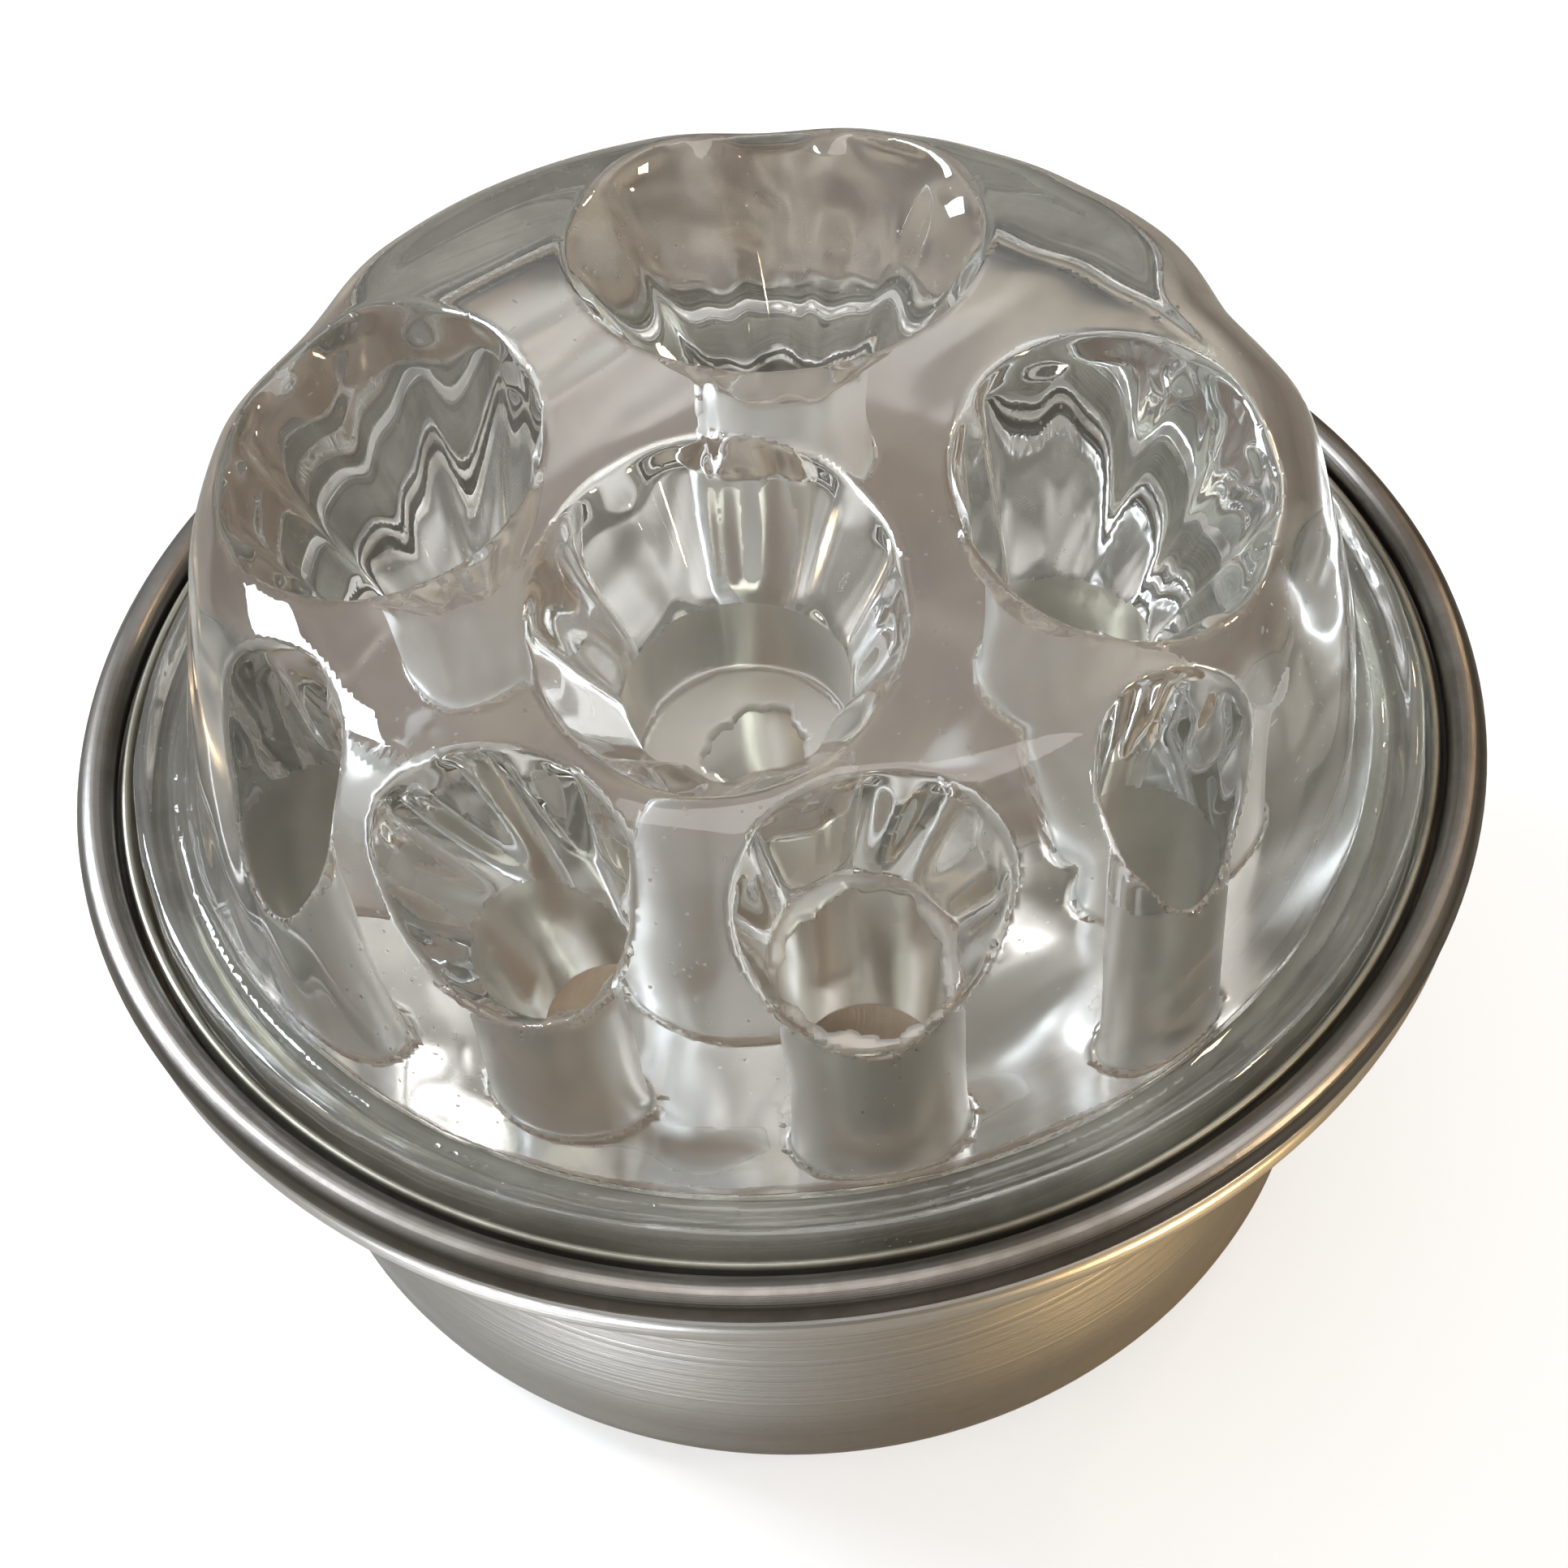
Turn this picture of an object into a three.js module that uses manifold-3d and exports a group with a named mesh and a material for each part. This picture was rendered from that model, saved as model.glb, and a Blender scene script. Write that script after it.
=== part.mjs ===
// Flower frog: a thick pressed-glass dome with splayed stem holes, dropped into a footed metal bowl.
// Millimetres, +Z up. The origin is at the centre of the bowl's underside.
import * as THREE from "three";
import { mergeVertices } from "three/addons/utils/BufferGeometryUtils.js";
import Module from "manifold-3d";

// Driving dimensions
const RIM_RADIUS = 55;            // outside of the edge bead
const RIM_HEIGHT = 45;            // centre line of the edge bead above the table
const GAP = 0.3;                  // clearance between neighbouring pieces
const ROUND_STEPS = 56;           // facets round a turned piece

// Metal bowl
const SHEET = 1.0;                // wall of the spun bowl
const FOOT_RADIUS = 38.6;         // outside of the flat foot ring
const FOOT_INNER_RADIUS = 33;     // inside of the flat foot ring
const FOOT_LIFT = 0.8;            // how far the middle of the bottom stands off the table
const CORNER_RADIUS = 6;          // rounding between foot and belly
const BELLY_RADIUS = 45;
const BELLY_HEIGHT = 12;
const NECK_RADIUS = 42.4;
const NECK_HEIGHT = 31;
const HEM_RADIUS = 54.5;          // outside of the turned hem under the bead
const HEM_TOP = 43.0;
const HEM_BOTTOM = 40.6;
const FLARE_RADIUS = 50.6;        // where the flare runs out into the hem
const FLARE_HEIGHT = 39.3;

// Edge bead and rim collar
const BEAD_WIRE_RADIUS = 1.6;
const COLLAR_SHEET = 0.8;
const COLLAR_OUTER = RIM_RADIUS - 2 * BEAD_WIRE_RADIUS - GAP;
const COLLAR_TOP = RIM_HEIGHT + 0.6;
const COLLAR_INNER = 43.3;
const SEAT_HEIGHT = 42.4;         // top of the ledge that carries the glass
const LEDGE_BOTTOM = SEAT_HEIGHT - COLLAR_SHEET;
const SKIRT_BOTTOM = 38.6;        // lower edge of the collar's skirt, inside the bowl's mouth

// Glass, heights above the table
const FLANGE_RADIUS = COLLAR_OUTER - COLLAR_SHEET - GAP;
const FLANGE_TOP = RIM_HEIGHT + 2.0;
const FLANGE_BOTTOM = SEAT_HEIGHT + GAP;
const FLANGE_ROUND = 1.1;
const GUTTER_RADIUS = 46.4;       // where the flange meets the side of the dome
const GUTTER_HEIGHT = RIM_HEIGHT + 0.6;
const SHOULDER_CENTRE_RADIUS = 35.6;
const SHOULDER_CENTRE_HEIGHT = RIM_HEIGHT + 22.8;
const SHOULDER_ROUND = 5.5;
const APEX_HEIGHT = RIM_HEIGHT + 30;
const PLUG_RADIUS = COLLAR_INNER - GAP - 0.2;
const PLUG_BOTTOM = RIM_HEIGHT - 4.6;
const HOLLOW_RADIUS = 39;         // edge of the concave underside
const HOLLOW_HEIGHT = RIM_HEIGHT - 0.8;

// Stem holes: a nearly straight bore from foot to throat, opened by a funnel that leans outwards to the mouth.
// Foot points lie at rim height, mouth points at MOUTH_LEVEL; a throat's third value is its height above the rim.
// "opening" is how much the funnel's radius grows per millimetre, "longer" its length front to back over its width.
const FOOT_LEVEL = RIM_HEIGHT;
const MOUTH_LEVEL = RIM_HEIGHT + 25;
const BORE_DRAUGHT = 0.006;       // taper of a bore per millimetre, as a part of its radius
const HOLE_STEPS = 24;
const STEM_HOLES = [
  // Centre
  {
    foot: [-2, -15.5], throat: [-2.4, -16.6, 20], mouth: [-2.7, -17],
    bore: 8, radius: 10.4, opening: 0.53, longer: 1.2,
  },
  // Back
  {
    foot: [2.7, 13], throat: [2.9, 15.5, 15], mouth: [3.1, 18],
    bore: 6.6, radius: 13.3, opening: 0.62, longer: 1,
  },
  // Back right
  {
    foot: [20, -9.5], throat: [21.5, -9.6, 15], mouth: [23.6, -9.2],
    bore: 6, radius: 9.9, opening: 0.38, longer: 1.25,
  },
  // Right
  {
    foot: [22.5, -28], throat: [24.3, -29.9, 15], mouth: [27.9, -33.4],
    bore: 5, radius: 8.5, opening: 0.5, longer: 1,
  },
  // Front right
  {
    foot: [4.3, -34.5], throat: [4.3, -38.2, 17.5], mouth: [5.4, -41.9],
    bore: 6.1, radius: 9.9, opening: 0.36, longer: 1,
  },
  // Front left
  {
    foot: [-14.5, -28.5], throat: [-16.9, -33.2, 17], mouth: [-19.7, -37.1],
    bore: 5.4, radius: 10.3, opening: 0.36, longer: 1,
  },
  // Left
  {
    foot: [-29, -20], throat: [-33.4, -21.8, 15], mouth: [-37.6, -23.8],
    bore: 5.6, radius: 9.9, opening: 0.4, longer: 1,
  },
  // Back left
  {
    foot: [-21, -3], throat: [-22.4, -2.5, 15], mouth: [-25, -0.5],
    bore: 5.6, radius: 10.4, opening: 0.42, longer: 1.2,
  },
];

// Profile helpers: points are [radius, height]
function arc(centreRadius, centreHeight, radius, fromDegrees, toDegrees, steps) {
  const points = [];
  for (let i = 0; i <= steps; i += 1) {
    const angle = THREE.MathUtils.degToRad(fromDegrees + ((toDegrees - fromDegrees) * i) / steps);
    points.push([centreRadius + radius * Math.cos(angle), centreHeight + radius * Math.sin(angle)]);
  }
  return points;
}

function smoothCurve(points, steps) {
  const curve = new THREE.SplineCurve(points.map(([r, z]) => new THREE.Vector2(r, z)));
  return curve.getPoints(steps).map((point) => [point.x, point.y]);
}

// A solid of revolution about Z; the profile runs counter-clockwise and closes on itself or on the axis.
function turned(profile, steps = ROUND_STEPS) {
  const points = profile.map(([r, z]) => new THREE.Vector2(Math.max(r, 0), z));
  const closesOnAxis = points[0].x === 0 && points[points.length - 1].x === 0;
  if (!closesOnAxis) {
    points.push(points[0].clone());
  }
  const geometry = new THREE.LatheGeometry(points, steps);
  geometry.rotateX(Math.PI / 2);
  return geometry;
}

// Boolean helpers
const wasm = await Module();
wasm.setup();

function toManifold(geometry) {
  const bare = geometry.clone();
  bare.deleteAttribute("normal");
  bare.deleteAttribute("uv");
  const merged = dropSlivers(mergeVertices(bare, 1e-4));
  const mesh = new wasm.Mesh({
    numProp: 3,
    vertProperties: new Float32Array(merged.attributes.position.array),
    triVerts: new Uint32Array(merged.index.array),
  });
  return new wasm.Manifold(mesh);
}

// Triangles that collapse to a line where a profile touches the axis
function dropSlivers(geometry) {
  const index = geometry.index.array;
  const kept = [];
  for (let i = 0; i < index.length; i += 3) {
    const [a, b, c] = [index[i], index[i + 1], index[i + 2]];
    if (a !== b && b !== c && c !== a) {
      kept.push(a, b, c);
    }
  }
  geometry.setIndex(kept);
  return geometry;
}

function toGeometry(manifold) {
  const mesh = manifold.getMesh();
  const geometry = new THREE.BufferGeometry();
  const positions = new Float32Array(mesh.numVert * 3);
  for (let i = 0; i < mesh.numVert; i += 1) {
    for (let k = 0; k < 3; k += 1) {
      positions[i * 3 + k] = mesh.vertProperties[i * mesh.numProp + k];
    }
  }
  geometry.setAttribute("position", new THREE.BufferAttribute(positions, 3));
  geometry.setIndex(new THREE.BufferAttribute(new Uint32Array(mesh.triVerts), 1));
  return geometry;
}

// Glass frog
function domeProfile() {
  const shoulder = arc(SHOULDER_CENTRE_RADIUS, SHOULDER_CENTRE_HEIGHT, SHOULDER_ROUND, 5, 78, 5);
  const [crownRadius, crownHeight] = shoulder[shoulder.length - 1];
  const crown = [];
  const crownSteps = 6;
  for (let i = crownSteps - 1; i >= 0; i -= 1) {
    const t = i / crownSteps;
    crown.push([crownRadius * t, APEX_HEIGHT - (APEX_HEIGHT - crownHeight) * t * t]);
  }
  return [...shoulder, ...crown];
}

function undersideProfile() {
  const points = [];
  const steps = 6;
  for (let i = 0; i <= steps; i += 1) {
    const t = i / steps;
    points.push([HOLLOW_RADIUS * t, HOLLOW_HEIGHT - (HOLLOW_HEIGHT - PLUG_BOTTOM) * t * t]);
  }
  return points;
}

function glassBlank() {
  return turned([
    ...undersideProfile(),
    [PLUG_RADIUS, PLUG_BOTTOM],
    [PLUG_RADIUS, FLANGE_BOTTOM],
    [FLANGE_RADIUS, FLANGE_BOTTOM],
    ...arc(FLANGE_RADIUS - FLANGE_ROUND, FLANGE_TOP - FLANGE_ROUND, FLANGE_ROUND, 0, 90, 3),
    [GUTTER_RADIUS + 1.2, GUTTER_HEIGHT + 0.2],
    [GUTTER_RADIUS, GUTTER_HEIGHT + 0.9],
    ...domeProfile(),
  ]);
}

// A lathe about the line from start to end; its profile's heights are measured along that line
function turnedAlong(start, end, profile, stretch = () => 1) {
  const geometry = turned(profile, HOLE_STEPS);
  const position = geometry.getAttribute("position");
  for (let i = 0; i < position.count; i += 1) {
    position.setY(i, position.getY(i) * stretch(position.getZ(i)));
  }
  const upright = new THREE.Vector3(0, 0, 1);
  const axis = end.clone().sub(start).normalize();
  geometry.applyQuaternion(new THREE.Quaternion().setFromUnitVectors(upright, axis));
  geometry.translate(start.x, start.y, start.z);
  return toManifold(geometry);
}

// One stem hole, long enough to pass both faces of the glass
function stemHole({ foot, throat, bore, mouth, radius, opening, longer }) {
  const footPoint = new THREE.Vector3(foot[0], foot[1], FOOT_LEVEL);
  const throatPoint = new THREE.Vector3(throat[0], throat[1], RIM_HEIGHT + throat[2]);
  const mouthPoint = new THREE.Vector3(mouth[0], mouth[1], MOUTH_LEVEL);
  const boreLength = footPoint.distanceTo(throatPoint);
  const below = 12;
  const beyond = 6;
  const straight = turnedAlong(footPoint, throatPoint, [
    [0, -below],
    [bore * (1 - BORE_DRAUGHT * boreLength), -below],
    [bore * (1 - BORE_DRAUGHT * boreLength), 0],
    [bore, boreLength],
    [bore, boreLength + beyond],
    [0, boreLength + beyond],
  ]);
  const funnelLength = throatPoint.distanceTo(mouthPoint);
  const tip = Math.max(funnelLength - radius / opening, -below);
  const above = 9;
  const funnel = turnedAlong(throatPoint, mouthPoint, [
    [0, tip],
    [Math.max(radius + opening * (tip - funnelLength), 0), tip],
    [radius, funnelLength],
    [radius + opening * above, funnelLength + above],
    [0, funnelLength + above],
  ], (along) => 1 + (longer - 1) * THREE.MathUtils.clamp(along / funnelLength, 0, 1.3));
  return straight.add(funnel);
}

function glassFrog() {
  let solid = toManifold(glassBlank());
  for (const hole of STEM_HOLES) {
    solid = solid.subtract(stemHole(hole));
  }
  return toGeometry(solid);
}

// Bowl: a spun shell with its bottom, belly, neck, flare and hem in one piece
function bowlShell() {
  const corner = arc(FOOT_RADIUS, CORNER_RADIUS, CORNER_RADIUS, -90, -8, 4);
  const side = smoothCurve([
    [FOOT_RADIUS + CORNER_RADIUS, CORNER_RADIUS + 0.6],
    [BELLY_RADIUS, BELLY_HEIGHT],
    [(BELLY_RADIUS + NECK_RADIUS) / 2, (BELLY_HEIGHT + NECK_HEIGHT) / 2],
    [NECK_RADIUS, NECK_HEIGHT],
    [NECK_RADIUS + 2.4, NECK_HEIGHT + 5.2],
    [FLARE_RADIUS, FLARE_HEIGHT],
  ], 10);
  const outside = [...corner, ...side];
  const hem = [
    [HEM_RADIUS - 0.7, HEM_BOTTOM],
    [HEM_RADIUS, HEM_BOTTOM + 0.7],
    [HEM_RADIUS, HEM_TOP - 0.7],
    [HEM_RADIUS - 0.7, HEM_TOP],
    [COLLAR_OUTER + GAP, HEM_TOP - 0.3],
    [COLLAR_OUTER + GAP, LEDGE_BOTTOM - GAP],
  ];
  const inside = side.slice(0, -1).reverse().map(([r, z]) => [r - SHEET, z + SHEET * 0.35]);
  const insideCorner = arc(FOOT_RADIUS, CORNER_RADIUS, CORNER_RADIUS - SHEET, -10, -88, 4);
  return turned([
    [0, FOOT_LIFT],
    [FOOT_INNER_RADIUS - 1.5, FOOT_LIFT],
    [FOOT_INNER_RADIUS, 0],
    ...outside,
    ...hem,
    [FLARE_RADIUS - 0.4, FLARE_HEIGHT + SHEET],
    ...inside,
    ...insideCorner,
    [FOOT_INNER_RADIUS + 0.4, SHEET],
    [FOOT_INNER_RADIUS - 1.2, FOOT_LIFT + SHEET],
    [0, FOOT_LIFT + SHEET],
  ]);
}

// Rim collar: ledge for the glass, upstand behind the bead, and a skirt down into the bowl's mouth
function rimCollar() {
  return turned([
    [COLLAR_INNER, SKIRT_BOTTOM],
    [COLLAR_INNER + COLLAR_SHEET, SKIRT_BOTTOM],
    [COLLAR_INNER + COLLAR_SHEET, LEDGE_BOTTOM - 0.8],
    [COLLAR_INNER + COLLAR_SHEET + 0.8, LEDGE_BOTTOM],
    [COLLAR_OUTER - 0.6, LEDGE_BOTTOM],
    [COLLAR_OUTER, LEDGE_BOTTOM + 0.6],
    [COLLAR_OUTER, COLLAR_TOP - 0.3],
    [COLLAR_OUTER - 0.3, COLLAR_TOP],
    [COLLAR_OUTER - COLLAR_SHEET + 0.1, COLLAR_TOP],
    [COLLAR_OUTER - COLLAR_SHEET, COLLAR_TOP - 0.3],
    [COLLAR_OUTER - COLLAR_SHEET, SEAT_HEIGHT],
    [COLLAR_INNER + 0.8, SEAT_HEIGHT],
    [COLLAR_INNER, SEAT_HEIGHT - 0.8],
  ]);
}

function edgeBead() {
  const section = arc(RIM_RADIUS - BEAD_WIRE_RADIUS, RIM_HEIGHT, BEAD_WIRE_RADIUS, 0, 324, 9);
  return turned(section);
}

function piece(name, geometry, colour, roughness, metalness) {
  const material = new THREE.MeshStandardMaterial({ color: colour, roughness, metalness });
  const mesh = new THREE.Mesh(geometry, material);
  mesh.name = name;
  return mesh;
}

const flowerFrog = new THREE.Group();
flowerFrog.add(piece("glass_frog", glassFrog(), 0xb9beb8, 0.05, 0.0));
flowerFrog.add(piece("edge_bead", edgeBead(), 0x8f8a86, 0.32, 1.0));
flowerFrog.add(piece("rim_collar", rimCollar(), 0x8b8782, 0.35, 1.0));
flowerFrog.add(piece("bowl", bowlShell(), 0x9a9895, 0.4, 1.0));

export default flowerFrog;
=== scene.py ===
import math
from collections import namedtuple
import bpy
import numpy as np
from mathutils import Matrix, Vector


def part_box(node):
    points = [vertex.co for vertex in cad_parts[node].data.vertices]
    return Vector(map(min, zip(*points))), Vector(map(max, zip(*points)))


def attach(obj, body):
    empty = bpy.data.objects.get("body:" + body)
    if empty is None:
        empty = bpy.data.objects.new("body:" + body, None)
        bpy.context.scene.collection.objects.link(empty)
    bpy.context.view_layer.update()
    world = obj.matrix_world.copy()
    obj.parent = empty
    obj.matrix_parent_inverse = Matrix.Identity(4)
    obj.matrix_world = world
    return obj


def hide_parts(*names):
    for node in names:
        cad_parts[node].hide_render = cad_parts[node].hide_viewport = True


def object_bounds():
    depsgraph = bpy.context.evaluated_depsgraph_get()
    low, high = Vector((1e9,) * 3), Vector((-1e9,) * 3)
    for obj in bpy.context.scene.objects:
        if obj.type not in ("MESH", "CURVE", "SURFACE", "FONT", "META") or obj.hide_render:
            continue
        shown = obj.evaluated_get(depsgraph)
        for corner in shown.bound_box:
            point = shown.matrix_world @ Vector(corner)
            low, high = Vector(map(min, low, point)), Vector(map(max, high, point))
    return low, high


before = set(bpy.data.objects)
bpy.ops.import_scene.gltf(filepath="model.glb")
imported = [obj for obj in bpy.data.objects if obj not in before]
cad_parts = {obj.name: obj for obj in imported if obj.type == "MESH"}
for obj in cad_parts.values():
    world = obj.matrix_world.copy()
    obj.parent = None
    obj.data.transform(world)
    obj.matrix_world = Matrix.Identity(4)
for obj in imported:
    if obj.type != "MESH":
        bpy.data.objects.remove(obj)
cad_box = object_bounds()

MM = 0.001

# Places read from the frame, in millimetres
bead_low, bead_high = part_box("edge_bead")
glass_low, glass_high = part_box("glass_frog")
collar_low, collar_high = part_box("rim_collar")
_, bowl_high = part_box("bowl")
RIM_RADIUS = bead_high[0] / MM
RIM_HEIGHT = (bead_low[2] + bead_high[2]) / 2 / MM
FLANGE_RADIUS = glass_high[0] / MM
PLUG_BOTTOM = glass_low[2] / MM
APEX_HEIGHT = glass_high[2] / MM
COLLAR_OUTER = collar_high[0] / MM
COLLAR_TOP = collar_high[2] / MM
SKIRT_BOTTOM = collar_low[2] / MM
HEM_RADIUS = bowl_high[0] / MM
HEM_TOP = bowl_high[2] / MM

# Glass proportions, in millimetres, heights above the table
FLANGE_TOP = RIM_HEIGHT + 2.0
FLANGE_BOTTOM = RIM_HEIGHT - 2.3
FLANGE_ROUND = 1.1
FLANGE_EDGE = FLANGE_RADIUS - 0.05
LOWER_EDGE_ROUND = 0.6
GUTTER_RADIUS = 46.4
GUTTER_HEIGHT = RIM_HEIGHT + 0.7
GUTTER_ROUND = 1.3
SHOULDER_RADIUS = 41.1
SHOULDER_HEIGHT = RIM_HEIGHT + 22.8
SHOULDER_ROUND = 5.5
CROWN_TOP = APEX_HEIGHT - 0.1
CROWN_DROP = 1.75
CROWN_RADIUS = 36.7
PLUG_RADIUS = 42.8
PLUG_ROUND = 0.8
HOLLOW_RADIUS = 39.0
HOLLOW_HEIGHT = RIM_HEIGHT - 0.8
HOLLOW_ROUND = 0.8

# Dents in the shoulder: place round the dome and half width in degrees, and depth
SHOULDER_DENTS = ((150, 16, 1.6), (85, 14, 1.0), (19, 16, 1.6), (205, 12, 0.8), (335, 12, 0.8))
DENT_START, DENT_FULL = RIM_HEIGHT + 8, RIM_HEIGHT + 24

# The mould line over the top
SEAM_PLACE = -2.9
SEAM_HEIGHT = 0.09
SEAM_HALF_WIDTH = 0.3
SEAM_MIDDLE = -3
SEAM_REACH = 22

# Stem holes. Each is a straight bore from its foot to its throat, opened by a funnel that leans outwards to
# its mouth. A foot lies at rim height and a mouth HOLE_LENGTH above it; a throat's third value is its height
# above the rim. "opening" is how much the funnel's radius grows per millimetre, and "longer" is the mouth's
# length from front to back over its width.
HOLE_LENGTH = 25.0
BORE_DRAUGHT = 0.006
CREASE_ROUND = 0.5
LIP_ROUND = 0.35
FLUTE_DEPTH = 0.95
StemHole = namedtuple("StemHole", "foot throat bore mouth radius opening longer")
STEM_HOLES = {
    "centre": StemHole((-2, -15.5), (-2.4, -16.6, 20), 8.0, (-2.7, -17), 10.4, 0.53, 1.2),
    "back": StemHole((2.7, 13), (2.9, 15.5, 15), 6.6, (3.1, 18), 13.3, 0.62, 1),
    "back_right": StemHole((20, -9.5), (21.5, -9.6, 15), 6.0, (23.6, -9.2), 9.9, 0.38, 1.25),
    "right": StemHole((22.5, -28), (24.3, -29.9, 15), 5.0, (27.9, -33.4), 8.5, 0.5, 1),
    "front_right": StemHole((4.3, -34.5), (4.3, -38.2, 17.5), 6.1, (5.4, -41.9), 9.9, 0.36, 1),
    "front_left": StemHole((-14.5, -28.5), (-16.9, -33.2, 17), 5.4, (-19.7, -37.1), 10.3, 0.36, 1),
    "left": StemHole((-29, -20), (-33.4, -21.8, 15), 5.6, (-37.6, -23.8), 9.9, 0.4, 1),
    "back_left": StemHole((-21, -3), (-22.4, -2.5, 15), 5.6, (-25, -0.5), 10.4, 0.42, 1.2),
}

# Thin webs of glass left across two bores: height along the bore, and the torn opening's offset from the
# bore's axis and radius
BrokenWeb = namedtuple("BrokenWeb", "height offset opening")
BROKEN_WEBS = {"centre": BrokenWeb(12.5, (-0.8, 0), 3.6), "front_right": BrokenWeb(15.5, (0, 0.2), 5.4)}
WEB_THICKNESS = 0.9

# Spacing of the grid that the glass is meshed on
CELL = 0.42


# ---------------------------------------------------------------- solid glass from a distance field

def round_max(a, b, r):
    """The part inside both, with the edge between them rounded to radius r."""
    outside = np.hypot(np.maximum(r + a, 0), np.maximum(r + b, 0))
    return np.minimum(-r, np.maximum(a, b)) + outside


def round_min(a, b, r):
    """The part inside either, with the corner between them filled to radius r."""
    inside = np.hypot(np.maximum(r - a, 0), np.maximum(r - b, 0))
    return np.maximum(r, np.minimum(a, b)) - inside


def fade_in(value, start, end):
    """0 up to start, 1 from end on, and straight between."""
    return np.clip((value - start) / (end - start), 0, 1)


def dents(angle):
    """How far the shoulder is drawn in where the plungers of the back holes pressed close to it."""
    drawn_in = 0
    for place, half_width, depth in SHOULDER_DENTS:
        away = np.abs((angle - math.radians(place) + math.pi) % (2 * math.pi) - math.pi)
        across = np.minimum(away / math.radians(half_width), 1)
        drawn_in = drawn_in + depth * np.cos(across * math.pi / 2) ** 2
    return drawn_in


def blank_field(x, y, z):
    """Dome, flange and plug before the holes are pressed in. Negative inside."""
    rho = np.hypot(x, y)
    crown_height = CROWN_TOP - CROWN_DROP * (rho / CROWN_RADIUS) ** 2
    crown_slope = 2 * CROWN_DROP * rho / CROWN_RADIUS ** 2
    crown = (z - crown_height) / np.sqrt(1 + crown_slope ** 2)
    taper = (GUTTER_RADIUS - SHOULDER_RADIUS) / (SHOULDER_HEIGHT - GUTTER_HEIGHT)
    side = (rho - GUTTER_RADIUS + taper * (z - GUTTER_HEIGHT)) / math.hypot(1, taper)
    side = side + dents(np.arctan2(y, x)) * fade_in(z, DENT_START, DENT_FULL)
    dome = round_max(crown, side, SHOULDER_ROUND)
    dome = np.maximum(dome, FLANGE_BOTTOM - z)
    lift = fade_in(rho, GUTTER_RADIUS + 0.6, GUTTER_RADIUS + 3.2)
    flange_top = GUTTER_HEIGHT + (FLANGE_TOP - GUTTER_HEIGHT) * lift * lift * (3 - 2 * lift)
    slope_correction = 0.9
    flange = round_max(rho - FLANGE_EDGE, (z - flange_top) * slope_correction, FLANGE_ROUND)
    flange = round_max(flange, FLANGE_BOTTOM - z, LOWER_EDGE_ROUND)
    body = round_min(dome, flange, GUTTER_ROUND)
    plug = round_max(rho - PLUG_RADIUS, PLUG_BOTTOM - z, PLUG_ROUND)
    plug = np.maximum(plug, z - FLANGE_TOP)
    return np.minimum(body, plug)


def hollow_field(x, y, z):
    """The shallow hollow under the glass. Negative inside the hollow."""
    rho = np.hypot(x, y)
    depth = HOLLOW_HEIGHT - PLUG_BOTTOM
    ceiling = HOLLOW_HEIGHT - depth * (rho / HOLLOW_RADIUS) ** 2
    slope = 2 * depth * rho / HOLLOW_RADIUS ** 2
    return (z - ceiling) / np.sqrt(1 + slope ** 2)


def line_coordinates(x, y, z, start, end):
    """Distance along the line from start to end, the two distances across it, and its length."""
    start, end = np.array(start, dtype=float), np.array(end, dtype=float)
    length = np.linalg.norm(end - start)
    along = (end - start) / length
    left = np.cross(along, (0, 1, 0))
    left /= np.linalg.norm(left)
    fore = np.cross(along, left)
    dx, dy, dz = x - start[0], y - start[1], z - start[2]
    parts = [dx * axis[0] + dy * axis[1] + dz * axis[2] for axis in (along, left, fore)]
    return *parts, length


def hole_points(name):
    """Foot, throat and mouth of a stem hole, with heights above the table."""
    hole = STEM_HOLES[name]
    throat_x, throat_y, throat_height = hole.throat
    foot = (*hole.foot, RIM_HEIGHT)
    throat = (throat_x, throat_y, RIM_HEIGHT + throat_height)
    mouth = (*hole.mouth, RIM_HEIGHT + HOLE_LENGTH)
    return foot, throat, mouth


def flutes(angle, phase):
    """Uneven ridges left on a hole's wall by the plunger, between -1 and 1."""
    wave = 0.72 * np.cos(9 * angle + phase) + 0.2 * np.cos(14 * angle + 2.3 * phase)
    return wave + 0.08 * np.cos(20 * angle - 1.7 * phase)


def bore_radius(along, length, name):
    """Bores taper a little, by the draught of the pin that pressed them."""
    return STEM_HOLES[name].bore * (1 - BORE_DRAUGHT * np.clip(length - along, 0, length))


def hole_field(x, y, z, name, below_surface):
    """One stem hole. Negative inside the hole. Its flutes fade out at the surface and below the throat."""
    hole = STEM_HOLES[name]
    foot, throat, mouth = hole_points(name)
    along, u, v, length = line_coordinates(x, y, z, foot, throat)
    bore = np.hypot(u, v) - bore_radius(along, length, name)
    along, u, v, length = line_coordinates(x, y, z, throat, mouth)
    fluting = FLUTE_DEPTH * fade_in(below_surface, 0.2, 2.0) * fade_in(along, -5, 4)
    phase = 1.7 * list(STEM_HOLES).index(name)
    wall = hole.radius + hole.opening * (along - length) + fluting * flutes(np.arctan2(v, u), phase)
    longer = 1 + (hole.longer - 1) * np.clip(along / length, 0, 1.3)
    funnel = (np.hypot(u, v / longer) - wall) / math.sqrt(1 + hole.opening ** 2)
    return round_min(bore, funnel, CREASE_ROUND)


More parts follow.
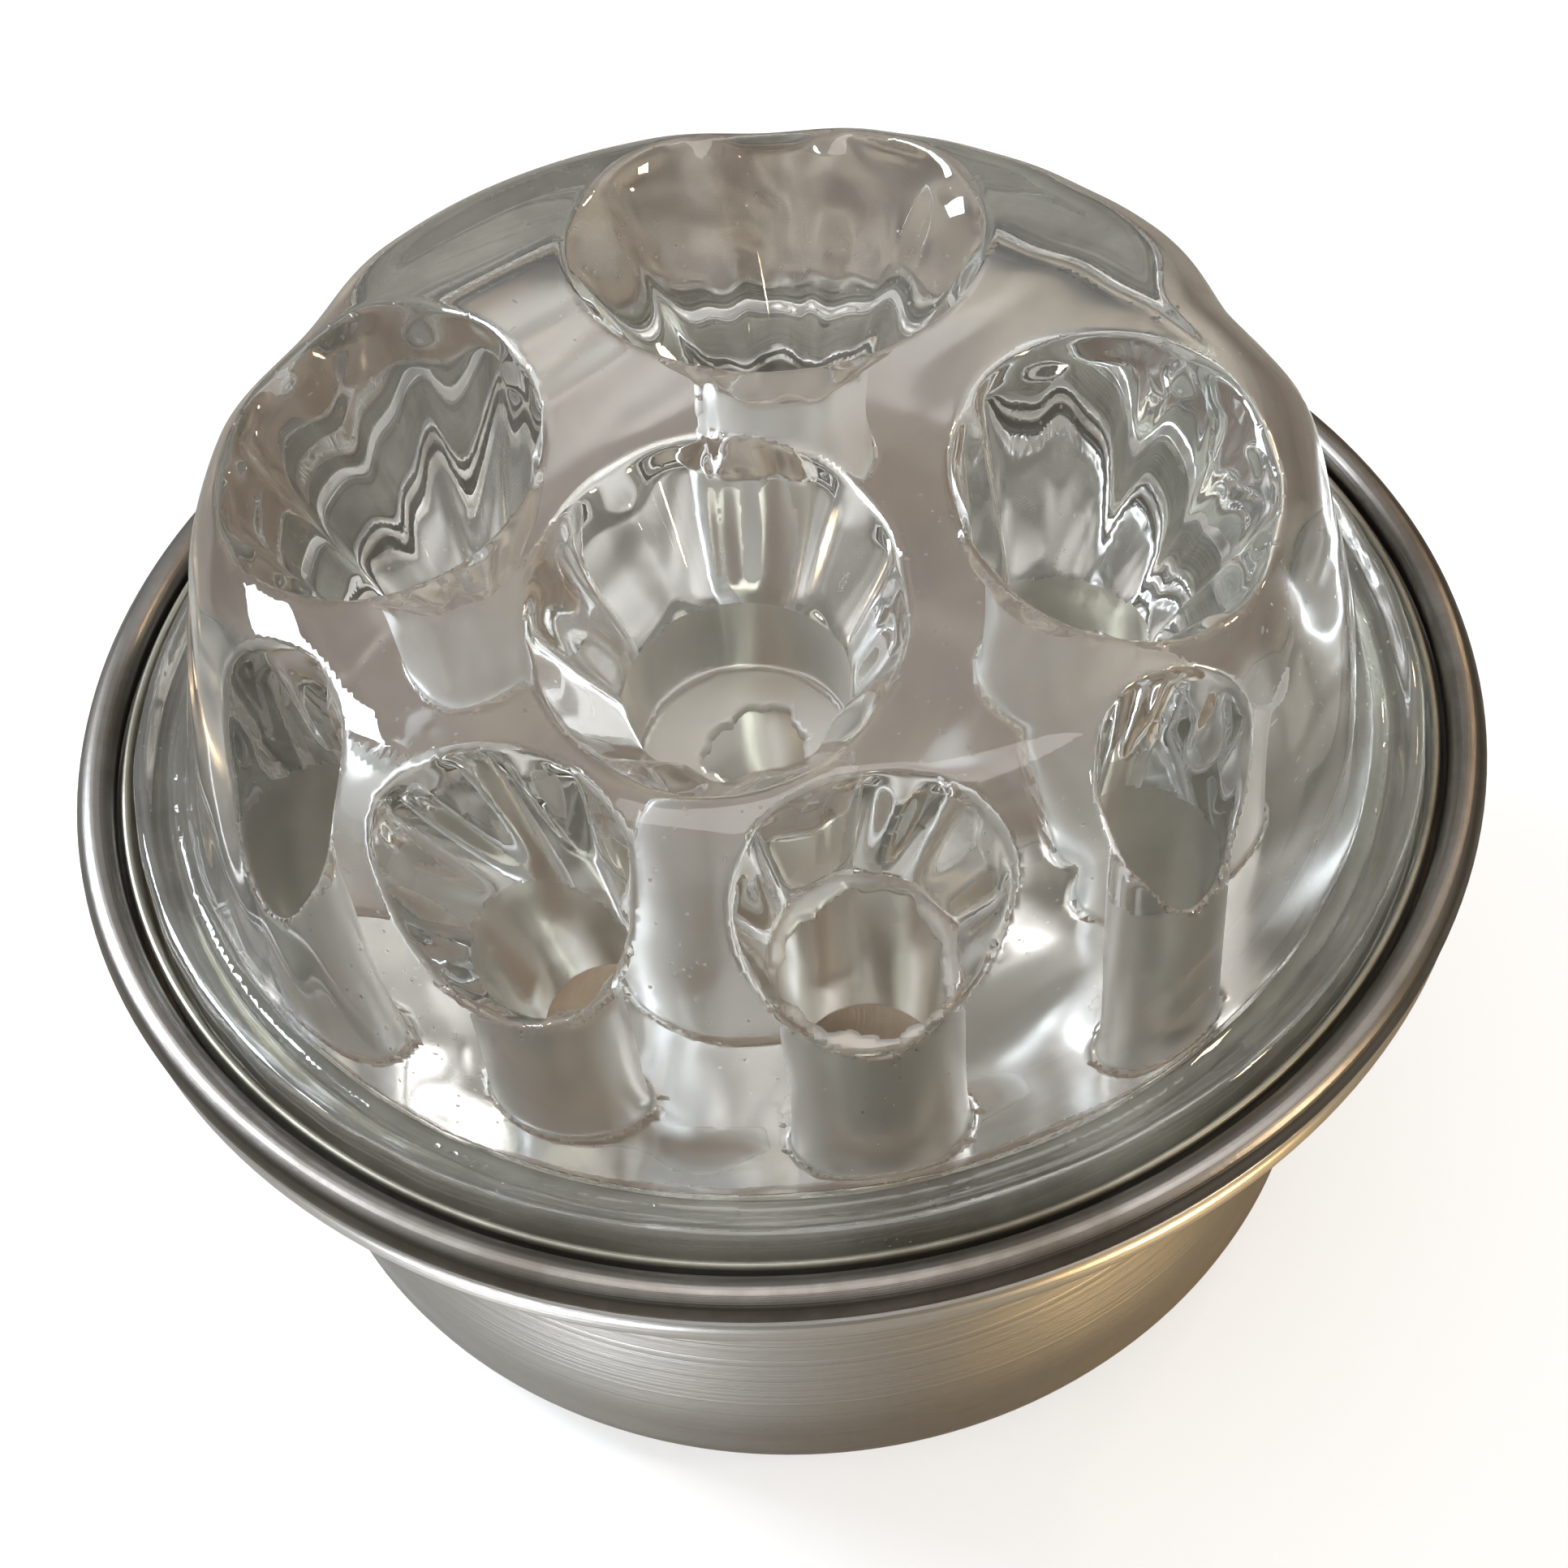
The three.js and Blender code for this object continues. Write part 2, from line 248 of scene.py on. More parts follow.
def web_field(x, y, z, name):
    """A broken web of glass across a bore. Negative inside the web."""
    web = BROKEN_WEBS[name]
    foot, throat, _ = hole_points(name)
    along, u, v, length = line_coordinates(x, y, z, foot, throat)
    from_left, from_fore = u - web.offset[0], v - web.offset[1]
    angle = np.arctan2(from_fore, from_left)
    ragged = web.opening + 0.35 * np.sin(3 * angle + 1)
    ragged = ragged + 0.22 * np.sin(8 * angle) + 0.12 * np.sin(17 * angle + 2)
    slab = np.abs(along - web.height) - WEB_THICKNESS / 2
    torn = ragged - np.hypot(from_left, from_fore)
    root = 0.6
    reach = np.hypot(u, v) - bore_radius(along, length, name) - root
    return np.maximum(np.maximum(slab, torn), reach)


def unevenness(x, y, z):
    """Slow waves in the pressed surface, in millimetres."""
    wave = np.sin(0.31 * x + 0.5 * z) * np.cos(0.27 * y - 0.2 * z)
    return 0.06 * wave + 0.035 * np.sin(0.55 * x - 0.62 * y + 0.4 * z)


def seam_ridge(x, y, z):
    """The thin line left where the halves of the mould met, over the middle of the top."""
    upwards = fade_in(z, RIM_HEIGHT + 12, RIM_HEIGHT + 16)
    endwards = fade_in(SEAM_REACH - np.abs(y - SEAM_MIDDLE), 0, 3)
    return SEAM_HEIGHT * upwards * endwards * np.exp(-((x - SEAM_PLACE) / SEAM_HALF_WIDTH) ** 2)


def frog_field(x, y, z):
    """Signed distance, roughly, to the surface of the whole glass frog."""
    blank = blank_field(x, y, z)
    solid = round_max(blank, -hollow_field(x, y, z), HOLLOW_ROUND)
    solid = solid + unevenness(x, y, z) - seam_ridge(x, y, z)
    for name in STEM_HOLES:
        hole = hole_field(x, y, z, name, -blank) + seam_ridge(x, y, z)
        solid = round_max(solid, -hole, LIP_ROUND)
    for name in BROKEN_WEBS:
        solid = np.minimum(solid, web_field(x, y, z, name))
    return solid


def surface_cells(field):
    """Grid cells that the surface passes through, and their numbering."""
    inside = field < 0
    corners = np.zeros([n - 1 for n in field.shape], dtype=np.int8)
    for i in (0, 1):
        for j in (0, 1):
            for k in (0, 1):
                corners += inside[i:i + corners.shape[0], j:j + corners.shape[1], k:k + corners.shape[2]]
    active = (corners > 0) & (corners < 8)
    number = np.full(active.shape, -1, dtype=np.int64)
    number[active] = np.arange(active.sum())
    return inside, active, number


def surface_quads(inside, number):
    """One quad round every grid edge that the surface crosses, facing outwards."""
    quads = []
    for axis in range(3):
        b, c = (axis + 1) % 3, (axis + 2) % 3
        low = [slice(1, -1)] * 3
        high = [slice(1, -1)] * 3
        low[axis], high[axis] = slice(0, -1), slice(1, None)
        before, after = inside[tuple(low)], inside[tuple(high)]
        for leaving, flip in ((before & ~after, False), (~before & after, True)):
            where = np.argwhere(leaving)
            where[:, b] += 1
            where[:, c] += 1
            ring = []
            for db, dc in ((-1, -1), (0, -1), (0, 0), (-1, 0)):
                cell = where.copy()
                cell[:, b] += db
                cell[:, c] += dc
                ring.append(number[cell[:, 0], cell[:, 1], cell[:, 2]])
            quad = np.stack(ring, axis=1)
            quads.append(quad[:, ::-1] if flip else quad)
    return np.concatenate(quads)


def field_gradient(field, points, step=0.03):
    """Slope of the field at each point, by central differences."""
    gradient = np.zeros_like(points)
    for axis in range(3):
        shift = np.zeros(3)
        shift[axis] = step
        ahead = field(*(points + shift).T)
        behind = field(*(points - shift).T)
        gradient[:, axis] = (ahead - behind) / (2 * step)
    return gradient


def settle_on_surface(field, points, rounds=4):
    """Moves points along the gradient until they lie on the field's surface."""
    for _ in range(rounds):
        value = field(*points.T)
        gradient = field_gradient(field, points)
        steepness = np.maximum((gradient ** 2).sum(axis=1), 0.15)
        move = np.clip(value / steepness, -0.6 * CELL, 0.6 * CELL)
        points = points - gradient * move[:, None]
    return points


def mesh_from_field(field, low, high):
    """Points and quads of the field's surface inside the box from low to high."""
    axes = [np.arange(low[i] - CELL, high[i] + 2 * CELL, CELL) for i in range(3)]
    values = np.empty([len(axis) for axis in axes], dtype=np.float32)
    for k, z in enumerate(axes[2]):
        x, y = np.meshgrid(axes[0], axes[1], indexing="ij")
        values[:, :, k] = field(x, y, np.full_like(x, z))
    inside, active, number = surface_cells(values)
    origin = np.array([axis[0] for axis in axes])
    points = origin + (np.argwhere(active) + 0.5) * CELL
    points = settle_on_surface(field, points)
    return points, surface_quads(inside, number)


def face_finish(points, quads):
    """0 for fire-polished faces, 1 for the satin underside and plug, 2 for the milky bores and webs."""
    x, y, z = points[quads].mean(axis=1).T
    satin = (np.abs(hollow_field(x, y, z)) < 0.4) | (z < FLANGE_BOTTOM + 0.2)
    finish = satin.astype(np.int32)
    for name in STEM_HOLES:
        foot, throat, _ = hole_points(name)
        along, u, v, length = line_coordinates(x, y, z, foot, throat)
        from_wall = np.hypot(u, v) - bore_radius(along, length, name)
        milky = (np.abs(from_wall) < 0.25) & (along < length - 0.5)
        if name in BROKEN_WEBS:
            on_web = np.abs(along - BROKEN_WEBS[name].height) < WEB_THICKNESS
            milky = milky | (on_web & (from_wall < 0))
        finish[milky] = 2
    return finish


def new_mesh_object(name, points, faces, material):
    """A smooth-shaded object from points in metres."""
    mesh = bpy.data.meshes.new(name)
    mesh.from_pydata([tuple(p) for p in points], [], [tuple(int(i) for i in f) for f in faces])
    mesh.validate()
    mesh.update()
    mesh.polygons.foreach_set("use_smooth", [True] * len(mesh.polygons))
    mesh.materials.append(material)
    piece = bpy.data.objects.new(name, mesh)
    bpy.context.scene.collection.objects.link(piece)
    return piece


# ---------------------------------------------------------------- turned metal

def arc(centre, radius, start, end, steps):
    """Points on a circle from the start angle to the end angle, in degrees."""
    angles = np.radians(np.linspace(start, end, steps + 1))
    return [(centre[0] + radius * math.cos(t), centre[1] + radius * math.sin(t)) for t in angles]


def smooth_line(points, steps):
    """A Catmull-Rom curve through the points."""
    p = [np.array(q, dtype=float) for q in points]
    p = [2 * p[0] - p[1]] + p + [2 * p[-1] - p[-2]]
    line = []
    for i in range(1, len(p) - 2):
        for s in range(steps):
            t = s / steps
            line.append(0.5 * (2 * p[i] + (p[i + 1] - p[i - 1]) * t
                        + (2 * p[i - 1] - 5 * p[i] + 4 * p[i + 1] - p[i + 2]) * t ** 2
                        + (3 * p[i] - p[i - 1] - 3 * p[i + 1] + p[i + 2]) * t ** 3))
    line.append(p[-2])
    return [tuple(q) for q in line]


def turned(name, profile, material, steps=192, sway=0.0):
    """A closed profile of (radius, height) turned about Z; sway is a slight out-of-round."""
    around = len(profile)
    points = []
    for i in range(steps):
        angle = 2 * math.pi * i / steps
        oval = 0.5 + 0.5 * math.sin(2 * angle + 0.7)
        lobes = 0.5 + 0.5 * math.sin(5 * angle)
        stretch = 1 - sway * oval - 0.5 * sway * lobes
        for r, z in profile:
            out = r * stretch
            points.append((out * math.cos(angle) * MM, out * math.sin(angle) * MM, z * MM))
    faces = []
    for i in range(steps):
        here, there = i * around, ((i + 1) % steps) * around
        for j in range(around):
            k = (j + 1) % around
            faces.append((here + j, there + j, there + k, here + k))
    return new_mesh_object(name, points, faces, material)


def bead_profile():
    """The round wire of the rim."""
    wire_radius = (bead_high[2] - bead_low[2]) / 2 / MM
    return arc((RIM_RADIUS - wire_radius, RIM_HEIGHT), wire_radius - 0.01, 0, 345, 23)


def collar_profile():
    """Skirt into the bowl's mouth, ledge under the glass and upstand behind the bead."""
    sheet = 0.8
    inner = 43.3
    seat = 42.4
    under = seat - sheet
    return [
        (inner + 0.15, SKIRT_BOTTOM), (inner + sheet - 0.15, SKIRT_BOTTOM),
        (inner + sheet, SKIRT_BOTTOM + 0.2), (inner + sheet, under - 1.0),
        *arc((inner + sheet + 1.0, under - 1.0), 1.0, 180, 90, 6),
        (COLLAR_OUTER - 0.7, under),
        *arc((COLLAR_OUTER - 0.7, under + 0.7), 0.7, -90, 0, 6),
        *arc((COLLAR_OUTER - 0.4, COLLAR_TOP - 0.4), 0.4, 0, 180, 10),
        (COLLAR_OUTER - sheet, seat + 0.3), (COLLAR_OUTER - sheet - 0.3, seat),
        (inner + 1.0, seat),
        *arc((inner + 1.0, seat - 1.0), 1.0, 100, 180, 6),
    ]


def bowl_profile():
    """Foot ring, belly, neck, flare and turned hem outside, and the same wall inside."""
    sheet = 1.0
    foot, corner, lift = 38.6, 6.0, 0.8
    belly, belly_height = 45.0, 12.0
    neck, neck_height = 42.4, 31.0
    flare, flare_height = 50.6, 39.3
    lip = COLLAR_OUTER + 0.35
    outside = smooth_line([
        (foot + corner, corner + 0.6), (belly, belly_height),
        ((belly + neck) / 2, (belly_height + neck_height) / 2), (neck, neck_height),
        (neck + 2.4, neck_height + 5.2), (flare, flare_height)], 8)
    inside = [(r - sheet, z + sheet * 0.35) for r, z in reversed(outside[:-3])]
    hem_bottom = 40.6
    return [
        (0.01, lift), (31.0, lift), (32.0, lift * 0.75), (33.0, 0.0),
        *arc((foot, corner), corner, -90, -4, 12),
        *outside,
        (HEM_RADIUS - 1.6, hem_bottom - 0.35),
        *arc((HEM_RADIUS - 0.8, hem_bottom + 0.8), 0.8, -80, 0, 6),
        *arc((HEM_RADIUS - 0.8, HEM_TOP - 0.8), 0.8, 0, 90, 6),
        (lip, HEM_TOP - 0.3), (lip, 41.3), (50.2, 40.3), (47.2, 38.6),
        *inside,
        *arc((foot, corner), corner - sheet, -6, -88, 10),
        (33.2, sheet), (31.8, lift + sheet), (0.01, lift + sheet),
    ]


# ---------------------------------------------------------------- materials

def new_material(name):
    """A material with one Principled shader on its output."""
    material = bpy.data.materials.new(name)
    material.use_nodes = True
    nodes = material.node_tree.nodes
    nodes.clear()
    output = nodes.new("ShaderNodeOutputMaterial")
    shader = nodes.new("ShaderNodeBsdfPrincipled")
    material.node_tree.links.new(shader.outputs["BSDF"], output.inputs["Surface"])
    return material, nodes, material.node_tree.links, shader, output


def node(nodes, kind, **values):
    """A new node, with its own settings and its sockets' values given by name."""
    made = nodes.new(kind)
    for key, value in values.items():
        if hasattr(made, key):
            setattr(made, key, value)
        else:
            made.inputs[key.replace("_", " ")].default_value = value
    return made


def ramp(nodes, stops):
    """A colour ramp from (place, colour) stops."""
    made = nodes.new("ShaderNodeValToRGB")
    elements = made.color_ramp.elements
    while len(elements) < len(stops):
        elements.new(0.5)
    for element, (place, colour) in zip(elements, stops):
        element.position = place
        element.color = (*colour, 1)
    return made


def metal_age_group():
    """Turning lines, grime and tarnish patches shared by the three metal pieces."""
    group = bpy.data.node_groups.new("spun metal age", "ShaderNodeTree")
    face = group.interface
    face.new_socket(name="Bright", in_out="INPUT", socket_type="NodeSocketColor")
    face.new_socket(name="Tarnish", in_out="INPUT", socket_type="NodeSocketColor")
    face.new_socket(name="Amount", in_out="INPUT", socket_type="NodeSocketFloat")
    face.new_socket(name="Base Roughness", in_out="INPUT", socket_type="NodeSocketFloat")
    face.new_socket(name="Colour", in_out="OUTPUT", socket_type="NodeSocketColor")
    face.new_socket(name="Roughness", in_out="OUTPUT", socket_type="NodeSocketFloat")
    face.new_socket(name="Height", in_out="OUTPUT", socket_type="NodeSocketFloat")
    nodes, links = group.nodes, group.links
    start = nodes.new("NodeGroupInput")
    end = nodes.new("NodeGroupOutput")
    place = nodes.new("ShaderNodeTexCoord")
    split = nodes.new("ShaderNodeSeparateXYZ")
    links.new(place.outputs["Object"], split.inputs[0])
    radius = node(nodes, "ShaderNodeVectorMath", operation="LENGTH")
    flat = nodes.new("ShaderNodeCombineXYZ")
    links.new(split.outputs["X"], flat.inputs["X"])
    links.new(split.outputs["Y"], flat.inputs["Y"])
    links.new(flat.outputs[0], radius.inputs[0])
    turning = nodes.new("ShaderNodeCombineXYZ")
    links.new(radius.outputs["Value"], turning.inputs["X"])
    links.new(split.outputs["Z"], turning.inputs["Y"])
    lines = node(nodes, "ShaderNodeTexNoise", Scale=2600.0, Detail=3.0, Roughness=0.6)
    links.new(turning.outputs[0], lines.inputs["Vector"])
    patches = node(nodes, "ShaderNodeTexNoise", Scale=70.0, Detail=6.0, Roughness=0.62)
    links.new(place.outputs["Object"], patches.inputs["Vector"])
    grime = node(nodes, "ShaderNodeTexNoise", Scale=900.0, Detail=4.0, Roughness=0.7)
    links.new(place.outputs["Object"], grime.inputs["Vector"])
    patch_mask = node(nodes, "ShaderNodeMapRange", From_Min=0.42, From_Max=0.68)
    links.new(patches.outputs["Fac"], patch_mask.inputs["Value"])
    patch_amount = node(nodes, "ShaderNodeMath", operation="MULTIPLY")
    links.new(patch_mask.outputs["Result"], patch_amount.inputs[0])
    links.new(start.outputs["Amount"], patch_amount.inputs[1])
    mix = node(nodes, "ShaderNodeMix", data_type="RGBA")
    links.new(patch_amount.outputs[0], mix.inputs["Factor"])
    links.new(start.outputs["Bright"], mix.inputs["A"])
    links.new(start.outputs["Tarnish"], mix.inputs["B"])
    links.new(mix.outputs["Result"], end.inputs["Colour"])
    rough_lines = node(nodes, "ShaderNodeMapRange", To_Min=-0.06, To_Max=0.06)
    links.new(lines.outputs["Fac"], rough_lines.inputs["Value"])
    rough_patch = node(nodes, "ShaderNodeMath", operation="MULTIPLY_ADD")
    rough_patch.inputs[1].default_value = 0.16
    links.new(patch_amount.outputs[0], rough_patch.inputs[0])
    links.new(start.outputs["Base Roughness"], rough_patch.inputs[2])
    rough = node(nodes, "ShaderNodeMath", operation="ADD")
    links.new(rough_patch.outputs[0], rough.inputs[0])
    links.new(rough_lines.outputs["Result"], rough.inputs[1])
    links.new(rough.outputs[0], end.inputs["Roughness"])
    height = node(nodes, "ShaderNodeMath", operation="MULTIPLY_ADD")
    height.inputs[1].default_value = 0.4
    links.new(grime.outputs["Fac"], height.inputs[0])
    links.new(lines.outputs["Fac"], height.inputs[2])
    links.new(height.outputs[0], end.inputs["Height"])
    return group


def metal_material(name, bright, tarnish, amount, roughness, bump):
    """Spun metal with its own tones, amount of tarnish, polish and depth of relief."""
    material, nodes, links, shader, _ = new_material(name)
    age = nodes.new("ShaderNodeGroup")
    age.node_tree = METAL_AGE
    age.inputs["Bright"].default_value = (*bright, 1)
    age.inputs["Tarnish"].default_value = (*tarnish, 1)
    age.inputs["Amount"].default_value = amount
    age.inputs["Base Roughness"].default_value = roughness
    relief = node(nodes, "ShaderNodeBump", Strength=bump, Distance=0.0002)
    shader.inputs["Metallic"].default_value = 1.0
    links.new(age.outputs["Colour"], shader.inputs["Base Color"])
    links.new(age.outputs["Roughness"], shader.inputs["Roughness"])
    links.new(age.outputs["Height"], relief.inputs["Height"])
    links.new(relief.outputs["Normal"], shader.inputs["Normal"])
    return material


def glass_surface_group():
    """Fine ripple and settled dust shared by the three finishes of the glass."""
    group = bpy.data.node_groups.new("pressed glass surface", "ShaderNodeTree")
    face = group.interface
    face.new_socket(name="Least Roughness", in_out="INPUT", socket_type="NodeSocketFloat")
    face.new_socket(name="Roughness", in_out="OUTPUT", socket_type="NodeSocketFloat")
    face.new_socket(name="Normal", in_out="OUTPUT", socket_type="NodeSocketVector")
    nodes, links = group.nodes, group.links
    start = nodes.new("NodeGroupInput")
    end = nodes.new("NodeGroupOutput")
    place = nodes.new("ShaderNodeTexCoord")
    ripple = node(nodes, "ShaderNodeTexNoise", Scale=90.0, Detail=1.0, Roughness=0.4)
    links.new(place.outputs["Object"], ripple.inputs["Vector"])
    relief = node(nodes, "ShaderNodeBump", Strength=0.2, Distance=0.0004)
    links.new(ripple.outputs["Fac"], relief.inputs["Height"])
    links.new(relief.outputs["Normal"], end.inputs["Normal"])
    specks = node(nodes, "ShaderNodeTexVoronoi", Scale=900.0)
    links.new(place.outputs["Object"], specks.inputs["Vector"])
    speck_mask = node(nodes, "ShaderNodeMapRange", From_Min=0.10, From_Max=0.16, To_Min=1.0, To_Max=0.0)
    links.new(specks.outputs["Distance"], speck_mask.inputs["Value"])
    drift = node(nodes, "ShaderNodeTexNoise", Scale=60.0, Detail=3.0)
    links.new(place.outputs["Object"], drift.inputs["Vector"])
    drift_mask = node(nodes, "ShaderNodeMapRange", From_Min=0.5, From_Max=0.62)
    links.new(drift.outputs["Fac"], drift_mask.inputs["Value"])
    dust = node(nodes, "ShaderNodeMath", operation="MULTIPLY")
    links.new(speck_mask.outputs["Result"], dust.inputs[0])
    links.new(drift_mask.outputs["Result"], dust.inputs[1])
    rough = node(nodes, "ShaderNodeMapRange", To_Max=0.5)
    links.new(start.outputs["Least Roughness"], rough.inputs["To Min"])
    links.new(dust.outputs[0], rough.inputs["Value"])
    links.new(rough.outputs["Result"], end.inputs["Roughness"])
    return group


def glass_material(name, least_roughness, clearness, tint):
    """One finish of the pressed glass; the absorption tints thick glass a little."""
    material, nodes, links, shader, output = new_material(name)
    shader.inputs["Base Color"].default_value = (*tint, 1)
    shader.inputs["IOR"].default_value = 1.52
    shader.inputs["Transmission Weight"].default_value = clearness
    surface = nodes.new("ShaderNodeGroup")
    surface.node_tree = GLASS_SURFACE
    surface.inputs["Least Roughness"].default_value = least_roughness
    links.new(surface.outputs["Roughness"], shader.inputs["Roughness"])
    links.new(surface.outputs["Normal"], shader.inputs["Normal"])
    absorb = node(nodes, "ShaderNodeVolumeAbsorption", Density=5.0)
    absorb.inputs["Color"].default_value = (0.84, 0.83, 0.78, 1)
    links.new(absorb.outputs["Volume"], output.inputs["Volume"])
    return material


METAL_AGE = metal_age_group()
GLASS_SURFACE = glass_surface_group()
GLASS = glass_material("clear pressed glass", 0.01, 0.965, (0.97, 0.972, 0.962))
SATIN_GLASS = glass_material("satin glass below", 0.13, 0.96, (0.97, 0.965, 0.95))
MILKY_GLASS = glass_material("milky glass in the bores", 0.32, 0.84, (0.99, 0.96, 0.93))
# Bead and collar have real tarnish patches, but their metal tone is also darkened far below bare metal. That
# darkening is a painted dark reflection of the room at grazing angles.
BEAD_METAL = metal_material("aged bead metal with painted dark reflection", (0.23, 0.215, 0.20), (0.10, 0.085, 0.07), 0.8, 0.3, 0.25)
COLLAR_METAL = metal_material("dull collar metal with painted dark reflection", (0.26, 0.25, 0.21), (0.12, 0.105, 0.08), 0.8, 0.4, 0.3)
BOWL_INSIDE = metal_material("brown bowl inside", (0.88, 0.78, 0.71), (0.56, 0.47, 0.40), 0.7, 0.5, 0.3)
BOWL_METAL = metal_material("satin bowl metal", (0.62, 0.61, 0.60), (0.40, 0.37, 0.33), 0.5, 0.36, 0.3)


# ---------------------------------------------------------------- pieces

def make_glass_frog():
    """The dome, flange and plug with all stem holes, in its three finishes."""
    low = np.array([glass_low[i] / MM for i in range(3)])
    high = np.array([glass_high[i] / MM for i in range(3)])
    points, quads = mesh_from_field(frog_field, low, high)
    margin = 0.01
    points = np.clip(points, low + margin, high - margin)
    frog = new_mesh_object("pressed_glass_frog", points * MM, quads, GLASS)
    frog.data.materials.append(SATIN_GLASS)
    frog.data.materials.append(MILKY_GLASS)
    frog.data.polygons.foreach_set("material_index", face_finish(points, quads))
    return frog


glass_piece = make_glass_frog()
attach(glass_piece, "frog")
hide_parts("glass_frog")

bead_piece = turned("rim_bead", bead_profile(), BEAD_METAL, sway=0.0006)
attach(bead_piece, "stand")
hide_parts("edge_bead")

collar_piece = turned("seat_collar", collar_profile(), COLLAR_METAL)
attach(collar_piece, "stand")
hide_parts("rim_collar")

def brown_inside(bowl):
    """Gives the faces inside the bowl, below its mouth, the brown finish."""
    bowl.data.materials.append(BOWL_INSIDE)
    mouth_height = 40.5 * MM
    for face in bowl.data.polygons:
        faces_axis = face.normal.x * face.center.x + face.normal.y * face.center.y < 0
        faces_up = face.normal.z > 0.6
        face.material_index = int((faces_axis or faces_up) and face.center.z < mouth_height)


bowl_piece = turned("spun_bowl", bowl_profile(), BOWL_METAL, sway=0.0006)
brown_inside(bowl_piece)
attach(bowl_piece, "stand")
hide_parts("bowl")


# ---------------------------------------------------------------- floor, light and camera

def make_floor():
    """A pale floor that shows darker in the glass and the metal than it does to the camera."""
    size = 3.0
    material, nodes, links, shader, output = new_material("pale floor")
    shader.inputs["Base Color"].default_value = (0.32, 0.32, 0.32, 1)
    shader.inputs["Roughness"].default_value = 0.8
    dim = nodes.new("ShaderNodeBsdfDiffuse")
    dim.inputs["Color"].default_value = (0.20, 0.185, 0.16, 1)
    seen = nodes.new("ShaderNodeLightPath")
    mix = nodes.new("ShaderNodeMixShader")
    links.new(seen.outputs["Is Camera Ray"], mix.inputs["Fac"])
    links.new(dim.outputs["BSDF"], mix.inputs[1])
    shader.inputs["Emission Color"].default_value = (0.9, 0.9, 0.9, 1)
    shader.inputs["Emission Strength"].default_value = 0.72
    links.new(shader.outputs["BSDF"], mix.inputs[2])
    links.new(mix.outputs["Shader"], output.inputs["Surface"])
    mesh = bpy.data.meshes.new("floor")
    corners = [(-size, -size, 0), (size, -size, 0), (size, size, 0), (-size, size, 0)]
    mesh.from_pydata(corners, [], [(0, 1, 2, 3)])
    mesh.materials.append(material)
    floor = bpy.data.objects.new("floor", mesh)
    bpy.context.scene.collection.objects.link(floor)
    gap = 0.0002
    floor.location.z = cad_box[0][2] - gap


def soft_light(name, place, target, size, power, colour, only_on=None):
    """A lamp with a face of the given width and height; only_on limits it to one piece."""
    light = bpy.data.lights.new(name, "AREA")
    light.shape = "RECTANGLE"
    light.size, light.size_y = size
    light.energy = power
    light.color = colour
    lamp = bpy.data.objects.new(name, light)
    bpy.context.scene.collection.objects.link(lamp)
    lamp.location = place
    lamp.visible_camera = False
    if only_on:
        lit = bpy.data.collections.new(name + " lights")
        lit.objects.link(only_on)
        lamp.light_linking.receiver_collection = lit
    lamp.rotation_euler = (Vector(target) - Vector(place)).to_track_quat("-Z", "Y").to_euler()


def make_lamps():
    """A cool window at the back left, a weak ceiling, two warm lamps, and two low lights on the bowl alone."""
    centre = (0, 0, 0.04)
    cool, white, warm = (0.82, 0.91, 1.0), (1.0, 0.99, 0.97), (1.0, 0.76, 0.48)
    soft_light("window", (-0.62, 0.30, 0.62), centre, size=(0.30, 0.50), power=15, colour=cool)
    soft_light("ceiling", (0.1, 0.1, 1.3), centre, size=(0.8, 0.8), power=6, colour=white)
    soft_light("lamp", (0.55, -0.22, 0.40), centre, size=(0.06, 0.10), power=1.1, colour=warm)
    soft_light("far lamp", (0.42, 0.40, 0.46), centre, size=(0.04, 0.04), power=0.6, colour=(1.0, 0.72, 0.42))
    soft_light("low window", (-0.075, -0.115, 0.004), (-0.03, -0.04, 0.03), size=(0.05, 0.03), power=0.2,
               colour=(0.92, 0.96, 1.0), only_on=bowl_piece)
    soft_light("low lamp", (0.085, -0.105, 0.004), (0.03, -0.035, 0.03), size=(0.035, 0.025), power=0.13,
               colour=(1.0, 0.68, 0.3), only_on=bowl_piece)


